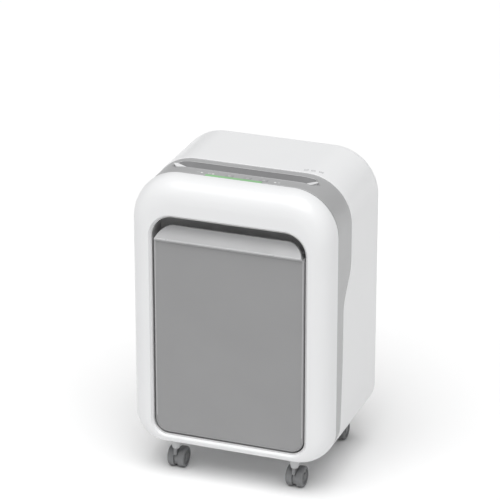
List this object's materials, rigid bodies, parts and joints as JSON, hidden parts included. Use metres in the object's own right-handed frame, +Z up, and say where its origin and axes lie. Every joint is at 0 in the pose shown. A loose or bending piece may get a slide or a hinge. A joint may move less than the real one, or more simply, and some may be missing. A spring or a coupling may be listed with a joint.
{
  "type": "paper shredder",
  "caption": "Free-standing office paper shredder: rounded white housing with a silver band, a feed slot and keys on top, a pull-out front bin and swivel casters.",
  "frame": {"origin": "on the floor, at the centre of the overall box", "axes": "+Z up, -Y out of the front where the bin pulls out, +X to the right of someone facing the front"},
  "size_m": [0.36, 0.27, 0.55],
  "materials": {
    "white_gloss": "glossy moulded white",
    "silver_band": "satin silver",
    "grey_panel": "satin mid grey",
    "silver_lip": "satin light silver",
    "recess_grey": "fine matt dark grey",
    "dark_plastic": "matt black grey",
    "key_silver": "satin silver",
    "light_green": "translucent green light guide",
    "lamp_white": "clear lens",
    "circuit_board": "green board",
    "zinc_plate": "zinc plated sheet",
    "steel": "machined",
    "bush_brass": "sintered bronze",
    "gear_nylon": "nylon",
    "caster_grey": "satin grey",
    "caster_wheel": "satin dark grey"
  },
  "bodies": {
    "housing": {"front_frame": "white_gloss", "recess_liner": "recess_grey", "trim_band": "silver_band", "rear_shell": "white_gloss", "back_cover": "white_gloss", "back_cover_screws": "steel", "base_plate": "dark_plastic", "bin_rails": "dark_plastic", "chassis_shelf": "dark_plastic", "throat_guide": "recess_grey", "throat_end_ramps": "white_gloss", "light_bar": "light_green", "lamp_lenses": "lamp_white", "control_board": "circuit_board", "head_plate_left": "zinc_plate", "head_plate_right": "zinc_plate", "head_tie_rods": "steel", "roller_bushes": "bush_brass", "comb_front": "zinc_plate", "comb_rear": "zinc_plate", "motor_body": "zinc_plate", "double_gear_pin": "steel", "power_board": "circuit_board", "bin_switch": "dark_plastic", "rocker_housing": "dark_plastic", "cord_gland": "dark_plastic"},
    "rear_cutter": {"cutter_roller_rear": "steel", "drive_gear": "gear_nylon", "sync_gear_rear": "steel"},
    "front_cutter": {"cutter_roller_front": "steel", "sync_gear_front": "steel"},
    "gear_pair": {"double_gear": "gear_nylon"},
    "motor_rotor": {"motor_shaft": "steel", "motor_pinion": "steel"},
    "power_button": {"power_key": "key_silver"},
    "forward_button": {"forward_key": "key_silver"},
    "reverse_button": {"reverse_key": "key_silver"},
    "rocker": {"mains_rocker": "dark_plastic"},
    "bin": {"bin_tub": "dark_plastic", "bin_front_panel": "grey_panel", "bin_handle_lip": "silver_lip"},
    "swivel_front_left": {"caster_stem_front_left": "steel", "caster_housing_front_left": "caster_grey"},
    "wheels_front_left": {"caster_axle_front_left": "steel", "caster_wheels_front_left": "caster_wheel"},
    "swivel_front_right": {"caster_stem_front_right": "steel", "caster_housing_front_right": "caster_grey"},
    "wheels_front_right": {"caster_axle_front_right": "steel", "caster_wheels_front_right": "caster_wheel"},
    "swivel_rear_left": {"caster_stem_rear_left": "steel", "caster_housing_rear_left": "caster_grey"},
    "wheels_rear_left": {"caster_axle_rear_left": "steel", "caster_wheels_rear_left": "caster_wheel"},
    "swivel_rear_right": {"caster_stem_rear_right": "steel", "caster_housing_rear_right": "caster_grey"},
    "wheels_rear_right": {"caster_axle_rear_right": "steel", "caster_wheels_rear_right": "caster_wheel"}
  },
  "joints": [
    {"name": "bin_slide", "type": "slide", "parent": "housing", "child": "bin", "axis": [0, -1, 0], "range_m": [0, 0.215]},
    {"name": "cutter_spin", "type": "hinge", "parent": "housing", "child": "rear_cutter", "pos_m": [0, -0.0345, 0.466], "axis": [1, 0, 0], "continuous": true},
    {"name": "front_cutter_spin", "type": "hinge", "parent": "housing", "child": "front_cutter", "pos_m": [0, -0.0615, 0.466], "axis": [1, 0, 0], "continuous": true},
    {"name": "gear_pair_spin", "type": "hinge", "parent": "housing", "child": "gear_pair", "pos_m": [0.137, 0.00133, 0.48886], "axis": [1, 0, 0], "continuous": true},
    {"name": "motor_spin", "type": "hinge", "parent": "housing", "child": "motor_rotor", "pos_m": [0.06, 0.045, 0.478], "axis": [1, 0, 0], "continuous": true},
    {"name": "mains_rocker_tilt", "type": "hinge", "parent": "housing", "child": "rocker", "pos_m": [-0.095, 0.1266, 0.15], "axis": [1, 0, 0], "range_deg": [0, 14]},
    {"name": "power_press", "type": "slide", "parent": "housing", "child": "power_button", "axis": [0, 0, -1], "range_m": [0, 0.0008], "stiffness_N_per_m": 400, "springref_m": -0.0008},
    {"name": "forward_press", "type": "slide", "parent": "housing", "child": "forward_button", "axis": [0, 0, -1], "range_m": [0, 0.0008], "stiffness_N_per_m": 400, "springref_m": -0.0008},
    {"name": "reverse_press", "type": "slide", "parent": "housing", "child": "reverse_button", "axis": [0, 0, -1], "range_m": [0, 0.0008], "stiffness_N_per_m": 400, "springref_m": -0.0008},
    {"name": "swivel_front_left_turn", "type": "hinge", "parent": "housing", "child": "swivel_front_left", "pos_m": [-0.109, -0.1, 0.0575], "axis": [0, 0, 1], "continuous": true},
    {"name": "wheels_front_left_roll", "type": "hinge", "parent": "swivel_front_left", "child": "wheels_front_left", "pos_m": [-0.109, -0.088, 0.0185], "axis": [1, 0, 0], "continuous": true},
    {"name": "swivel_front_right_turn", "type": "hinge", "parent": "housing", "child": "swivel_front_right", "pos_m": [0.109, -0.1, 0.0575], "axis": [0, 0, 1], "continuous": true},
    {"name": "wheels_front_right_roll", "type": "hinge", "parent": "swivel_front_right", "child": "wheels_front_right", "pos_m": [0.109, -0.088, 0.0185], "axis": [1, 0, 0], "continuous": true},
    {"name": "swivel_rear_left_turn", "type": "hinge", "parent": "housing", "child": "swivel_rear_left", "pos_m": [-0.118, 0.097, 0.0575], "axis": [0, 0, 1], "continuous": true},
    {"name": "wheels_rear_left_roll", "type": "hinge", "parent": "swivel_rear_left", "child": "wheels_rear_left", "pos_m": [-0.118, 0.109, 0.0185], "axis": [1, 0, 0], "continuous": true},
    {"name": "swivel_rear_right_turn", "type": "hinge", "parent": "housing", "child": "swivel_rear_right", "pos_m": [0.118, 0.097, 0.0575], "axis": [0, 0, 1], "continuous": true},
    {"name": "wheels_rear_right_roll", "type": "hinge", "parent": "swivel_rear_right", "child": "wheels_rear_right", "pos_m": [0.118, 0.109, 0.0185], "axis": [1, 0, 0], "continuous": true}
  ],
  "couplings": [
    {"joint": "front_cutter_spin", "follows": "cutter_spin", "ratio": -1},
    {"joint": "gear_pair_spin", "follows": "cutter_spin", "ratio": -3.8571},
    {"joint": "motor_spin", "follows": "cutter_spin", "ratio": 19.286}
  ]
}
